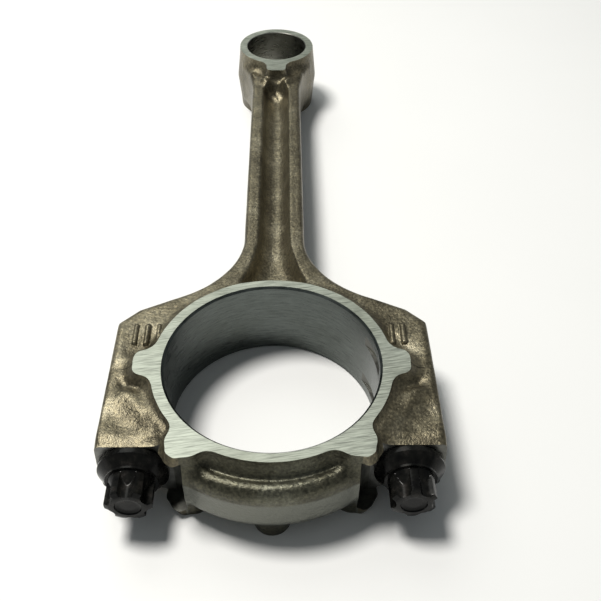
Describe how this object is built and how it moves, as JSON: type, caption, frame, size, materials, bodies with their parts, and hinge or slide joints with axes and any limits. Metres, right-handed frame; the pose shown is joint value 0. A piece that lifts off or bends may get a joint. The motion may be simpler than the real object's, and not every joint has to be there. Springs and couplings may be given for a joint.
{
  "type": "connecting rod",
  "caption": "Forged steel connecting rod with an I-section beam, a plain piston-pin eye, a split big end with its bearing cap, and flanged cap bolts with lobed drives.",
  "frame": {"origin": "middle of the big-end bore, on the parting plane and on the forging's middle plane", "axes": "+Z along the big-end bore, +Y from the big end to the small end, +X across the bolt shoulders, to the side with the bearing-shell notches"},
  "size_m": [0.0724, 0.1918, 0.0208],
  "materials": {
    "forged_steel": "grainy forging skin, fine-ground thrust faces and honed bores",
    "bolt_steel": "black oxide"
  },
  "bodies": {
    "rod": {"rod_body": "forged_steel"},
    "bearing_cap": {"cap": "forged_steel"},
    "left_bolt": {"bolt_left": "bolt_steel"},
    "right_bolt": {"bolt_right": "bolt_steel"}
  },
  "joints": [
    {"name": "cap_slide", "type": "slide", "parent": "rod", "child": "bearing_cap", "axis": [0, -1, 0], "range_m": [0, 0.016]},
    {"name": "bolt_left_turn", "type": "hinge", "parent": "bearing_cap", "child": "left_bolt", "pos_m": [-0.0286, 0, 0], "axis": [0, -1, 0], "range_deg": [0, 5765]},
    {"name": "bolt_right_turn", "type": "hinge", "parent": "bearing_cap", "child": "right_bolt", "pos_m": [0.0286, 0, 0], "axis": [0, -1, 0], "range_deg": [0, 5765]}
  ],
  "couplings": [
    {"joint": "bolt_left_turn", "follows": "cap_slide", "rad_per_m": 6283.2},
    {"joint": "bolt_right_turn", "follows": "cap_slide", "rad_per_m": 6283.2}
  ]
}
